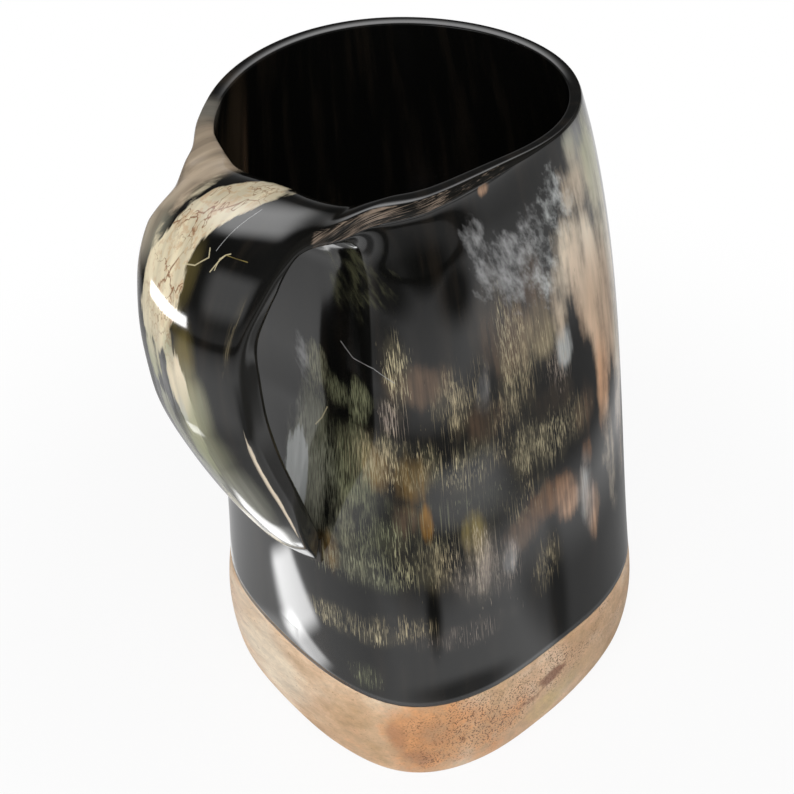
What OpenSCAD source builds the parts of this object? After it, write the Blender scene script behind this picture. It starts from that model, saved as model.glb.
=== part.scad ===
// A drinking cup cut from a large horn, with a strap of the same horn bent over into a handle,
// on a wooden foot whose plug closes the horn's wide end. Lengths are in millimetres, +Z is up,
// the handle points to -X, and the origin is on the flat underside, below the horn's wide end.

/* [Cup] */
// Height of the rim above the table
cup_h = 152; // [120:1:190]
// Mean width of the horn where it meets the wood
seam_w = 96; // [84:1:110]
// Mean width of the horn at the mouth
mouth_w = 78.6; // [70:0.2:90]
// How much wider than a straight cone the horn is, a third of the way up
belly_low = 2.4; // [0:0.1:6]
// How much wider than a straight cone the horn is, two thirds of the way up
belly_high = 4.6; // [0:0.1:8]
// Sideways lean of the mouth, away from the handle
lean_x = 1.5; // [0:0.1:5]
// Sideways lean of the mouth, square to the handle
lean_y = 11.8; // [0:0.1:20]
// Bow of the horn's centre line at half height
bow_x = 1.3; // [0:0.1:3]
// Thickness of the horn wall
wall_t = 3; // [2:0.1:4]

/* [Strap handle] */
// Width of the strap where it leaves the rim
strap_w = 35.5; // [26:0.5:40]
// How far the strap's edges stand out from the wall
strap_out = 26.5; // [20:0.5:34]
// Thickness of the strap at the rim
strap_t = 4.5; // [3.5:0.1:5.5]
// Height of the strap's crown over its edges
crown_h = 4.2; // [2:0.1:6]
// Height of the strap's tip above the table
tip_z = 59.5; // [45:0.5:70]
// Length of the cut at the tip, which lies along the wall
tip_h = 7; // [5:0.5:9]
// Radius of the bend from the wall into the strap, on its upper side
bend_r = 9.5; // [7:0.5:12]
// How far the wall is drawn in below the bend
dent_d = 3; // [1:0.1:4]

/* [Wooden foot] */
// Height of the wood that shows below the horn
band_h = 24; // [16:1:32]
// Mean width of the flat underside
foot_w = 94; // [80:0.2:96]
// Height of the plug that stands up inside the horn
plug_h = 10; // [6:1:16]
// Clearance between the plug and the horn
plug_gap = 0.3; // [0.1:0.05:0.5]

/* [Bonds] */
// Thickness of the glue in the seam between horn and wood
seam_t = 0.4; // [0.2:0.1:0.8]
// Thickness of the sealing resin on the cup's floor
resin_t = 3; // [2:0.5:6]
// Width of the resin's raised edge against the wall
meniscus_w = 2.5; // [1.5:0.5:4]
// Clearance between the resin and the horn
resin_gap = 0.1; // [0.05:0.05:0.2]
// Thickness of the glue between the strap's tip and the wall
tip_glue_t = 0.6; // [0.4:0.1:1]
// Clearance between that glue and the wall at its closest
glue_gap = 0.05; // [0.05:0.05:0.2]

/* [Hidden] */

// Outline of the horn as harmonics of its radius: cosine and sine shares for 2, 3 and 4 lobes
seam_shares = [[0, -0.005], [0.008, -0.0485], [-0.018, 0.016]];
mouth_shares = [[0.083, -0.067], [-0.034, -0.024], [-0.005, 0.005]];
// Flats and a corner left in the outline at the seam, which fade out up the horn: angle, half
// angle and depth
seam_flat_shares = [[244, 42, 0.042], [208, 22, -0.014]];
// The side below the strap, which is pressed flat, with a corner beside it. It starts at the first
// share of the height, is full after the second, and fades out over the third, below the rim
side_flat_shares = [[178, 48, 0.145], [223, 32, -0.08]];
side_rise_shares = [0.35, 0.25, 0.12];
// Fall of the rim from the handle to the far side, for each unit across
rim_slope = 0.027;

// Strap along its length, from the rim to the tip: stand-off and height of its edges, then its
// width, thickness and crown, and how far its section turns from square to upright
path_shares = [
    [0.167, 1, 1, 1, 0.65, 0], [0.389, 0.985, 0.97, 1, 0.8, 0], [0.593, 0.954, 0.93, 1.07, 0.95, 0],
    [0.77, 0.907, 0.873, 1.16, 0.95, 0], [0.907, 0.847, 0.79, 1.35, 0.87, 0],
    [0.975, 0.785, 0.745, 1.5, 0.82, 0], [0.989, 0.71, 0.73, 1.53, 0.8, 0],
    [0.975, 0.613, 0.71, 1.5, 0.76, 0], [0.907, 0.53, 0.685, 1.4, 0.72, 0],
    [0.796, 0.437, 0.65, 1.25, 0.68, 0], [0.652, 0.333, 0.615, 1.12, 0.6, 0],
    [0.498, 0.229, 0.53, 1.08, 0.5, 0], [0.326, 0.125, 0.385, 1.08, 0.35, 0.1],
    [0.165, 0.056, 0.27, 1.15, 0.2, 0.55]
];
tip_width_share = 0.19;
// Sideways skew of the strap from the cup's centre line, at the rim and at the tip
rim_skew_share = 0.034;
tip_skew_share = -0.05;
// Rise of the rim at the strap's edges
edge_lift_share = 0.034;

// How the cut edge runs from the strap into the rim: degrees past the strap's edge, then the
// share of the strap's reach over the wall, the angle of the cut face below level, the share of
// the edge's lift, and the height of the cut face in wall thicknesses
near_edge_shares = [
    [0, 1, 90, 1, 1.5], [4, 0.66, 88, 0.95, 1.5], [8, 0.4, 84, 0.85, 1.4], [12, 0.23, 80, 0.72, 1.3],
    [18, 0.12, 76, 0.5, 1.1], [24, 0.08, 73, 0.3, 1], [34, 0.05, 70, 0.1, 0.85], [49, 0.02, 67, 0, 0.65],
    [64, 0, 65, 0, 0.4], [79, 0, 65, 0, 0.2], [180, 0, 65, 0, 0.2]
];
far_edge_shares = [
    [0, 1, 90, 1, 1.5], [4, 0.7, 88, 0.95, 1.4], [8, 0.4, 84, 0.8, 1.2], [12, 0.2, 80, 0.6, 1],
    [18, 0.07, 76, 0.35, 0.7], [24, 0.02, 72, 0.15, 0.45], [34, 0, 68, 0, 0.25],
    [49, 0, 65, 0, 0.2], [180, 0, 65, 0, 0.2]
];
// Degrees past the strap's edge over which the columns of the wall lie closer
edge_arc = 27;
// Length of the bend's rise for its reach, at the middle of the strap's root and at its edges
middle_bend_share = 0.7;
edge_bend_share = 0.22;
// How far down the wall the root's dent runs, for the bend's radius, and how far round for the
// root's half angle
dent_depth_share = 5;
dent_arc_share = 1.3;
// Share of the wooden band's height at which its rounded side stands upright
foot_round_share = 0.8;
// Swell of the band at half its height, and the flat sanded into it lower down
foot_swell_share = 0.018;
foot_flat_shares = [[283, 28, 0.022]];

// Counts of columns round the cup, rows up it, and steps along the bend and the strap
root_n = 12;
edge_n = 9;
rest_n = 38;
row_n = 14;
bend_n = 6;
strap_n = 30;
foot_n = 7;
floor_n = 3;

foot_z = 0;
horn_z = band_h + seam_t;
plug_z = band_h + plug_h;
lower_w = mix(seam_w, mouth_w, 1 / 3) + belly_low;
upper_w = mix(seam_w, mouth_w, 2 / 3) + belly_high;
resin_z = plug_z + resin_t;
root_a = asin(strap_w / mouth_w);
middle_s = up_share((cup_h + tip_z) / 2);
wall_x = horn_r(middle_s) * plain_share(180, middle_s) - centre(middle_s)[0];
crest_x = -(wall_x + path_shares[0][0] * strap_out);
crest_y = strap_y(cup_h);
root_crown = crown_h * path_shares[0][4];

// Small helpers
function mix(a, b, u) = a + (b - a) * u;
function clamp01(u) = min(1, max(0, u));
function smooth(u) = let (c = clamp01(u)) c * c * (3 - 2 * c);
function turned(a) = a - 360 * round(a / 360);
function column_of(table, k) = [for (row = table) [row[0], row[k]]];
function knot(list, k) = list[min(len(list) - 1, max(0, k))];
function catmull(a, b, c, d, u) =
    (2 * b + (c - a) * u + (2 * a - 5 * b + 4 * c - d) * u * u + (3 * b - a - 3 * c + d) * u * u * u) / 2;
function along(list, u) =
    let (s = u * (len(list) - 1), k = min(len(list) - 2, floor(s)))
    catmull(knot(list, k - 1), list[k], list[k + 1], knot(list, k + 2), s - k);

// The horn: its mean radius, centre line and outline at a height
function up_share(z) = (z - band_h) / (cup_h - band_h);
function horn_r(s) = (seam_w * (1 - s) * (1 - 3 * s) * (2 - 3 * s) + lower_w * 9 * s * (1 - s) * (2 - 3 * s)
    + upper_w * 9 * s * (1 - s) * (3 * s - 1) + mouth_w * s * (3 * s - 1) * (3 * s - 2)) / 4;
function centre(s) = [mix(0, lean_x, s) + 4 * bow_x * s * (1 - s), mix(0, lean_y, s)];
function lobes(shares, phi) =
    1 + [for (k = [0 : 2]) [cos((k + 2) * phi), sin((k + 2) * phi)] * shares[k]] * [1, 1, 1];
function flats(shares, phi) =
    [for (h = shares) h[2] * pow(cos(90 * min(1, abs(turned(phi - h[0])) / h[1])), 2)] * [for (h = shares) 1];
function plain_share(phi, s) =
    mix(lobes(seam_shares, phi), lobes(mouth_shares, phi), s) - flats(seam_flat_shares, phi) * pow(1 - s, 2);
function pressed(s) =
    smooth((s - side_rise_shares[0]) / side_rise_shares[1]) * smooth((1 - s) / side_rise_shares[2]);
function outline_share(phi, s) = plain_share(phi, s) - flats(side_flat_shares, phi) * pressed(s);
function ring(phi, z, inset = 0) =
    let (s = up_share(min(z, cup_h)), r = horn_r(s) * outline_share(phi, s) - inset)
    centre(s) + r * [cos(phi), sin(phi)];

// Angles round the cup, counted from the handle, towards -Y
root_angles = [for (k = [0 : root_n]) root_a * (2 * k / root_n - 1)];
edge_angles = [for (k = [1 : edge_n]) root_a + edge_arc * k / edge_n];
rest_start = root_a + edge_arc;
rest_angles = [for (k = [1 : rest_n]) rest_start + (360 - 2 * rest_start) * k / rest_n];
back_angles = [for (k = [1 : edge_n - 1]) 360 - rest_start + edge_arc * k / edge_n];
angles = concat(root_angles, edge_angles, rest_angles, back_angles);

// The strap's middle plane, and its place across at a column of the root
function strap_y(z) =
    centre(up_share(z))[1] + strap_w * mix(tip_skew_share, rim_skew_share, (z - tip_z) / (cup_h - tip_z));
function root_v(a) = -turned(a) / root_a;

// The rim and the root of the strap, at an angle counted from the handle
function in_root(a) = abs(turned(a)) <= root_a + 0.001;
function edge_value(a, k) =
    let (b = abs(turned(a)) - root_a)
    lookup(max(0, b), column_of(turned(a) > 0 ? near_edge_shares : far_edge_shares, k));
function rim_z(a) =
    let (p = ring(180 + a, cup_h), lift = edge_lift_share * strap_w)
    cup_h - rim_slope * (p[0] - centre(1)[0])
    + (in_root(a) ? lift + root_crown * (1 - pow(root_v(a), 2)) : lift * edge_value(a, 3));
function near_rim(z) = smooth(1 - (cup_h - z) / (dent_depth_share * bend_r));
function dent(a, z) =
    dent_d * pow(cos(90 * min(1, abs(turned(a)) / (dent_arc_share * root_a))), 2) * near_rim(z);
function wall_here(a, z) = mix(wall_t, min(strap_t, wall_t * max(1, edge_value(a, 4))), near_rim(z));
function outer_at(a, z) = ring(180 + a, z, dent(a, z));
function inner_at(a, z) = ring(180 + a, z, dent(a, z) + wall_here(a, z));
function bend_share(a) = mix(middle_bend_share, edge_bend_share, pow(min(1, abs(root_v(a))), 2));
function root_end(a) = [crest_x, crest_y + root_v(a) * strap_w / 2];
function edge_reach(a) =
    let (full = norm(root_end(sign(turned(a)) * root_a) - inner_at(sign(turned(a)) * root_a, cup_h)))
    mix(wall_here(a, cup_h), full, edge_value(a, 1));

// One column of the wall, from the seam to the rim: straight rows, then a bend that carries the
// sheet outwards, as far as the column's place asks, to the cut face
function column(a) =
    let (
        foot_in = inner_at(a, cup_h),
        to_end = root_end(a) - foot_in,
        blend = smooth((abs(turned(a)) - root_a - edge_arc / 3) / (edge_arc / 2)),
        free = mix([-1, 0], [cos(180 + a), sin(180 + a)], blend),
        way = in_root(a) ? to_end / norm(to_end) : free / norm(free),
        reach = in_root(a) ? norm(to_end) : edge_reach(a),
        end_in = to3(foot_in + way * reach, rim_z(a)),
        tilt = in_root(a) ? 90 : edge_value(a, 2),
        face = in_root(a) ? strap_t : wall_t * edge_value(a, 4),
        end_out = end_in + face * to3(way * cos(tilt), -sin(tilt)),
        start_in = rim_z(a) - min(bend_r, bend_share(a) * reach),
        start_out = end_out[2] - bend_r
    )
    concat(
        rows(a, start_out, false),
        bend(outer_point(a, start_out), outer_point(a, end_out[2]), end_out),
        reverse(concat(
            rows(a, start_in, true),
            bend(inner_point(a, start_in), inner_point(a, end_in[2]), end_in)))
    );
function to3(p, z) = [p[0], p[1], z];
function reverse(list) = [for (k = [len(list) - 1 : -1 : 0]) list[k]];
function outer_point(a, z) = to3(outer_at(a, z), z);
function inner_point(a, z) = to3(inner_at(a, z), z);
function rows(a, top, inside) =
    [for (k = [0 : row_n])
        let (z = mix(horn_z, top, k / row_n))
        inside ? inner_point(a, z) : outer_point(a, z)];
function bend(from, corner, to) =
    [for (k = [1 : bend_n])
        let (u = k / bend_n)
        pow(1 - u, 2) * from + 2 * u * (1 - u) * corner + u * u * to];

// A skin over loops of points, each joined to the next: closed round on itself, or capped. Each
// four-sided patch is cut along its shorter diagonal
function patch(p, a, b, c, d) =
    norm(p[a] - p[d]) < norm(p[b] - p[c]) ? [[a, c, d], [a, d, b]] : [[a, c, b], [b, c, d]];
function skin(p, m, closed) =
    let (total = len(p), loops = total / m)
    [for (k = [0 : loops - (closed ? 1 : 2)]) for (i = [0 : m - 1])
        let (j = (i + 1) % m, next = (k * m + m) % total)
        each patch(p, k * m + i, k * m + j, next + i, next + j)];

// A fan over one loop from a point of its own
function fan(first, m, hub, up) =
    [for (i = [0 : m - 1]) let (a = first + i, b = first + (i + 1) % m) up ? [hub, b, a] : [hub, a, b]];

module tube(columns) {
    points = [for (c = columns) each reverse(c)];
    polyhedron(points = points, faces = skin(points, len(columns[0]), true), convexity = 10);
}

// A solid of stacked rings, closed below and above by fans
module stack(rings, low_hub, high_hub) {
    m = len(rings[0]);
    side = [for (r = rings) each r];
    total = len(side);
    polyhedron(
        points = concat(side, [low_hub, high_hub]),
        faces = concat(skin(side, m, false), fan(0, m, total, false), fan(total - m, m, total + 1, true)),
        convexity = 10);
}

module horn_body() {
    color("#2b2826") tube([for (a = angles) column(a)]);
}

// The strap: sections of the bent sheet from the rim to the tip, each a loop of its upper face
// and its lower face
function path_point(u) =
    let (p = along(path_shares, u), top = rim_z(root_a))
    [-(wall_x + p[0] * strap_out), mix(tip_z, top, p[1]), p[2], p[3], p[4], p[5]];
function path_normal(u) =
    let (
        h = 0.5 / strap_n,
        a = path_point(max(0, u - h)),
        b = path_point(min(1, u + h)),
        d = [b[0] - a[0], b[1] - a[1]]
    )
    [d[1], -d[0]] / norm(d);
function across(k) = 1 - 2 * k / root_n;
function strap_section(u) =
    let (
        p = path_point(u),
        n = path_normal(u),
        lean = mix(-n, [0, 1], p[5]),
        down = lean / norm(lean) * strap_t * p[3],
        upper = [for (k = [0 : root_n]) let (v = across(k), c = crown_h * p[4] * (1 - v * v))
            [p[0] + n[0] * c, strap_y(p[1]) + v * p[2] * strap_w / 2, p[1] + n[1] * c]]
    )
    concat(upper, reverse([for (q = upper) q + [down[0], 0, down[1]]]));
function root_section() =
    let (upper = [for (k = [0 : root_n]) to3(root_end(root_angles[k]), rim_z(root_angles[k]))])
    concat(upper, reverse([for (q = upper) q - [0, 0, strap_t]]));
function tip_section() =
    let (
        x = tip_x - tip_glue_t,
        y = [for (k = [0 : root_n]) strap_y(tip_z) + across(k) * tip_width_share * strap_w / 2]
    )
    concat([for (q = y) [x, q, tip_z]], reverse([for (q = y) [x, q, tip_z + tip_h]]));
tip_x = min([for (k = [0 : root_n]) for (z = [tip_z, tip_z + tip_h]) tip_wall_x(k, z)]) - glue_gap;
function tip_angle(k, z) =
    let (y = strap_y(tip_z) + across(k) * tip_width_share * strap_w / 2 - centre(up_share(z))[1])
    180 - asin(y / horn_r(up_share(z)));
function tip_wall_x(k, z) = ring(tip_angle(k, z), z)[0];

module horn_handle() {
    sections = concat(
        [tip_section()],
        [for (k = [strap_n - 1 : -1 : 1]) strap_section(k / strap_n)],
        [root_section()]);
    middle = root_n / 2;
    color("#3a3430") stack(sections, sections[0][middle] + [0, 0, tip_h / 2],
        sections[strap_n][middle] - [0, 0, strap_t / 2]);
}

// The wooden foot: a rounded side up to the seam, a shoulder for the horn, and the plug
function foot_ring(z) =
    let (
        u = (z - foot_z) / band_h,
        k = u < foot_round_share ? sqrt(1 - pow(1 - u / foot_round_share, 2)) : 1,
        swell = foot_swell_share * sin(180 * u)
    )
    [for (a = angles)
        let (share = mix(foot_w / seam_w, 1, k) + swell - flats(foot_flat_shares, 180 + a) * (1 - u))
        to3(share * ring(180 + a, band_h), z)];
function bore_ring(z, gap) = [for (a = angles) to3(ring(180 + a, z, wall_t + gap), z)];
function foot_height(k) = band_h * foot_round_share * (1 - cos(90 * k / foot_n));

module wood_base() {
    rings = concat(
        [for (k = [0 : foot_n]) foot_ring(foot_height(k))],
        [foot_ring(band_h), bore_ring(band_h, plug_gap), bore_ring(plug_z, plug_gap)]);
    color("#cfa27c") stack(rings, [0, 0, foot_z], [0, 0, plug_z]);
}

// The resin poured over the plug: it lies flat and climbs a little at the wall
module floor_resin() {
    rise = [for (k = [0 : floor_n]) let (u = k / floor_n) [meniscus_w * u, meniscus_w * pow(1 - u, 2)]];
    rings = concat(
        [bore_ring(plug_z, resin_gap)],
        [for (r = rise) [for (p = bore_ring(resin_z, resin_gap + r[0])) p + [0, 0, r[1]]]]);
    color("#4a3a2c") stack(rings, [0, 0, plug_z], [0, 0, resin_z]);
}

// The thin layer of glue on the shoulder, under the horn's cut end
module seam_glue() {
    loop = [for (a = angles) let (p = ring(180 + a, horn_z), q = ring(180 + a, horn_z, wall_t))
        [to3(p, band_h), to3(p, horn_z), to3(q, horn_z), to3(q, band_h)]];
    color("#1c1712") tube(loop);
}

// The glue that fills between the strap's cut tip and the wall
module tip_glue() {
    y = strap_y(tip_z);
    w = tip_width_share * strap_w;
    color("#8d8a80") translate([tip_x - tip_glue_t, y - w / 2, tip_z]) cube([tip_glue_t, w, tip_h]);
}

horn_body();
horn_handle();
wood_base();
floor_resin();
seam_glue();
tip_glue();
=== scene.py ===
"""A horn drinking cup on a wooden foot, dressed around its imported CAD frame."""

import math

import bpy
import numpy as np
from mathutils import Matrix, Quaternion, Vector


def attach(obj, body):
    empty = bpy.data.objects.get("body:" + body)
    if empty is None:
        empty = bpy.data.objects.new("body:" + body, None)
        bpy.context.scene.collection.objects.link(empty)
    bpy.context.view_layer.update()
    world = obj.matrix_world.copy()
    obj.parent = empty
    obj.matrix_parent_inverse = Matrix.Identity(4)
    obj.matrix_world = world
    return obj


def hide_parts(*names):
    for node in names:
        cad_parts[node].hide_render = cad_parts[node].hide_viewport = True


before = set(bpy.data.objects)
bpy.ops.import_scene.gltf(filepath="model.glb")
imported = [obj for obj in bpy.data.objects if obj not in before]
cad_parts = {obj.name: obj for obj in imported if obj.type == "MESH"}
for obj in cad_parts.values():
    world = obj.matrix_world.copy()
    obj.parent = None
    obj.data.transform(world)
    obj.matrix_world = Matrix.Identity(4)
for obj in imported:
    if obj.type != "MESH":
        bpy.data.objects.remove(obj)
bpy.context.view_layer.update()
MM = 0.001

# The cup's own sizes in millimetres and its shares, the same as in the CAD source
CUP_H, WALL_T, BAND_H = 152.0, 3.0, 24.0
WIDTHS = (96.0, 92.6, 89.0, 78.6)
LEAN_X, LEAN_Y, BOW_X = 1.5, 11.8, 1.3
STRAP_W, STRAP_OUT, STRAP_T, CROWN_H = 35.5, 26.5, 4.5, 4.2
TIP_Z, TIP_H, BEND_R, DENT_D = 59.5, 7.0, 9.5, 3.0
FOOT_W, PLUG_H, PLUG_GAP, SEAM_T = 94.0, 10.0, 0.3, 0.4
RESIN_T, MENISCUS_W, RESIN_GAP = 3.0, 2.5, 0.1
TIP_GLUE_T, GLUE_GAP = 0.6, 0.05
HORN_Z = BAND_H + SEAM_T
PLUG_Z = BAND_H + PLUG_H
RESIN_Z = PLUG_Z + RESIN_T
SEAM_LOBES = ((0, -0.005), (0.008, -0.0485), (-0.018, 0.016))
MOUTH_LOBES = ((0.083, -0.067), (-0.034, -0.024), (-0.005, 0.005))
SEAM_FLATS = ((244, 42, 0.042), (208, 22, -0.014))
FOOT_FLATS = ((283, 28, 0.022),)
SIDE_FLATS = ((178, 48, 0.145), (223, 32, -0.08))
SIDE_RISE, SIDE_FADE = (0.35, 0.25), 0.12
FOOT_ROUND, FOOT_SWELL = 0.8, 0.018
RIM_SLOPE = 0.027
PATH = np.array([
    (0.167, 1, 1, 1, 0.65, 0), (0.389, 0.985, 0.97, 1, 0.8, 0), (0.593, 0.954, 0.93, 1.07, 0.95, 0),
    (0.77, 0.907, 0.873, 1.16, 0.95, 0), (0.907, 0.847, 0.79, 1.35, 0.87, 0),
    (0.975, 0.785, 0.745, 1.5, 0.82, 0), (0.989, 0.71, 0.73, 1.53, 0.8, 0),
    (0.975, 0.613, 0.71, 1.5, 0.76, 0), (0.907, 0.53, 0.685, 1.4, 0.72, 0),
    (0.796, 0.437, 0.65, 1.25, 0.68, 0), (0.652, 0.333, 0.615, 1.12, 0.6, 0),
    (0.498, 0.229, 0.53, 1.08, 0.5, 0), (0.326, 0.125, 0.385, 1.08, 0.35, 0.1),
    (0.165, 0.056, 0.27, 1.15, 0.2, 0.55)])
TIP_WIDTH, RIM_SKEW, TIP_SKEW, EDGE_LIFT = 0.19, 0.034, -0.05, 0.034
NEAR_EDGE = np.array([
    (0, 1, 90, 1, 1.5), (4, 0.66, 88, 0.95, 1.5), (8, 0.4, 84, 0.85, 1.4), (12, 0.23, 80, 0.72, 1.3),
    (18, 0.12, 76, 0.5, 1.1), (24, 0.08, 73, 0.3, 1), (34, 0.05, 70, 0.1, 0.85), (49, 0.02, 67, 0, 0.65),
    (64, 0, 65, 0, 0.4), (79, 0, 65, 0, 0.2), (180, 0, 65, 0, 0.2)], float)
FAR_EDGE = np.array([
    (0, 1, 90, 1, 1.5), (4, 0.7, 88, 0.95, 1.4), (8, 0.4, 84, 0.8, 1.2), (12, 0.2, 80, 0.6, 1),
    (18, 0.07, 76, 0.35, 0.7), (24, 0.02, 72, 0.15, 0.45), (34, 0, 68, 0, 0.25),
    (49, 0, 65, 0, 0.2), (180, 0, 65, 0, 0.2)], float)
EDGE_ARC = 27.0
BEND_SHARES = (0.7, 0.22)
DENT_DEPTH, DENT_ARC = 5.0, 1.3
ROOT_A = math.degrees(math.asin(STRAP_W / WIDTHS[3]))

# How finely the visible meshes are cut
ROOT_N, EDGE_N, REST_N = 44, 40, 230
ROW_N, BEND_N, CUT_N, STRAP_N = 96, 16, 7, 150
RAW_R = 44.0
STRAP_LONG = 130.0


def smooth(u):
    c = np.clip(u, 0, 1)
    return c * c * (3 - 2 * c)


def mix(a, b, u):
    return a + (b - a) * u


def up_share(z):
    return (z - BAND_H) / (CUP_H - BAND_H)


def horn_r(s):
    a, b, c, d = WIDTHS
    return (a * (1 - s) * (1 - 3 * s) * (2 - 3 * s) + b * 9 * s * (1 - s) * (2 - 3 * s)
            + c * 9 * s * (1 - s) * (3 * s - 1) + d * s * (3 * s - 1) * (3 * s - 2)) / 4


def lobes(table, phi):
    r = np.radians(phi)
    return 1 + sum(c * np.cos((k + 2) * r) + s * np.sin((k + 2) * r) for k, (c, s) in enumerate(table))


def turned(a):
    return a - 360 * np.round(np.asarray(a, float) / 360)


def flats(table, phi):
    return sum(d * np.cos(np.radians(90 * np.minimum(1, abs(turned(phi - at)) / half))) ** 2
               for at, half, d in table)


def plain_outline(phi, s):
    return mix(lobes(SEAM_LOBES, phi), lobes(MOUTH_LOBES, phi), s) - flats(SEAM_FLATS, phi) * (1 - s) ** 2


def pressed(s):
    return smooth((s - SIDE_RISE[0]) / SIDE_RISE[1]) * smooth((1 - s) / SIDE_FADE)


def outline(phi, s):
    return plain_outline(phi, s) - flats(SIDE_FLATS, phi) * pressed(s)


def ring(phi, z, inset=0):
    """The horn's outline at a height, in millimetres, drawn in by inset"""
    s = up_share(np.minimum(z, CUP_H))
    r = horn_r(s) * outline(phi, s) - inset
    t = np.radians(phi)
    return np.stack([LEAN_X * s + 4 * BOW_X * s * (1 - s) + r * np.cos(t), LEAN_Y * s + r * np.sin(t)], -1)


def slopes(x, y):
    """Slopes at a table's knots, for a curve that doesn't overshoot"""
    h, d = np.diff(x), np.diff(y) / np.diff(x)
    m = np.zeros_like(y)
    for k in range(1, len(x) - 1):
        if d[k - 1] * d[k] > 0:
            w1, w2 = 2 * h[k] + h[k - 1], h[k] + 2 * h[k - 1]
            m[k] = (w1 + w2) / (w1 / d[k - 1] + w2 / d[k])
    m[0], m[-1] = d[0], d[-1]
    return m


def curve(x, y, at):
    """A smooth curve through a table, at the places asked for"""
    at = np.clip(at, x[0], x[-1])
    m = slopes(x, y)
    k = np.clip(np.searchsorted(x, at, side="right") - 1, 0, len(x) - 2)
    h = x[k + 1] - x[k]
    t = (at - x[k]) / h
    return ((2 * t ** 3 - 3 * t ** 2 + 1) * y[k] + (t ** 3 - 2 * t ** 2 + t) * h * m[k]
            + (3 * t ** 2 - 2 * t ** 3) * y[k + 1] + (t ** 3 - t ** 2) * h * m[k + 1])


def edge_value(a, k):
    b = np.maximum(0, abs(turned(a)) - ROOT_A)
    return np.where(turned(a) > 0, curve(NEAR_EDGE[:, 0], NEAR_EDGE[:, k], b),
                    curve(FAR_EDGE[:, 0], FAR_EDGE[:, k], b))


def in_root(a):
    return abs(turned(a)) <= ROOT_A + 1e-6


def root_v(a):
    return -turned(a) / ROOT_A


def strap_y(z):
    return LEAN_Y * up_share(z) + STRAP_W * mix(TIP_SKEW, RIM_SKEW, (z - TIP_Z) / (CUP_H - TIP_Z))


MID_S = up_share((CUP_H + TIP_Z) / 2)
WALL_X = float(horn_r(MID_S) * plain_outline(180, MID_S)) - LEAN_X * MID_S - 4 * BOW_X * MID_S * (1 - MID_S)
CREST_X = -(WALL_X + PATH[0, 0] * STRAP_OUT)
CREST_Y = float(strap_y(CUP_H))
ROOT_CROWN = CROWN_H * PATH[0, 4]


def rim_z(a):
    lift = EDGE_LIFT * STRAP_W
    return (CUP_H - RIM_SLOPE * (ring(180 + a, CUP_H)[..., 0] - LEAN_X)
            + np.where(in_root(a), lift + ROOT_CROWN * (1 - root_v(a) ** 2), lift * edge_value(a, 3)))


def near_rim(z):
    return smooth(1 - (CUP_H - z) / (DENT_DEPTH * BEND_R))


def dent(a, z):
    arc = np.radians(90 * np.minimum(1, abs(turned(a)) / (DENT_ARC * ROOT_A)))
    return DENT_D * np.cos(arc) ** 2 * near_rim(z)


def wall_here(a, z):
    return mix(WALL_T, np.minimum(STRAP_T, WALL_T * np.maximum(1, edge_value(a, 4))), near_rim(z))


def outer_at(a, z):
    return ring(180 + a, z, dent(a, z))


def inner_at(a, z):
    return ring(180 + a, z, dent(a, z) + wall_here(a, z))


def path_at(u):
    """The strap's middle line and section at shares u of its length: x, z, width, thickness, crown, turn"""
    top = float(rim_z(np.array(ROOT_A)))
    s = np.asarray(u, float) * (len(PATH) - 1)
    k = np.clip(np.floor(s).astype(int), 0, len(PATH) - 2)
    t = (s - k)[..., None]
    a, b, c, d = (PATH[np.clip(k + j, 0, len(PATH) - 1)] for j in (-1, 0, 1, 2))
    out = (2 * b + (c - a) * t + (2 * a - 5 * b + 4 * c - d) * t ** 2 + (3 * b - a - 3 * c + d) * t ** 3) / 2
    out[..., 0] = -(WALL_X + out[..., 0] * STRAP_OUT)
    out[..., 1] = mix(TIP_Z, top, out[..., 1])
    return out


def path_normal(u, h=1 / 60):
    d = (path_at(np.minimum(1, u + h)) - path_at(np.maximum(0, u - h)))[..., :2]
    n = np.stack([d[..., 1], -d[..., 0]], -1)
    return n / np.linalg.norm(n, axis=-1, keepdims=True)


def lift3(xy, z):
    return np.concatenate([xy, np.broadcast_to(np.asarray(z, float)[..., None], xy.shape[:-1] + (1,))], -1)


def bezier(a, b, c, u):
    u = u[:, None]
    return (1 - u) ** 2 * a + 2 * u * (1 - u) * b + u * u * c


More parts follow.
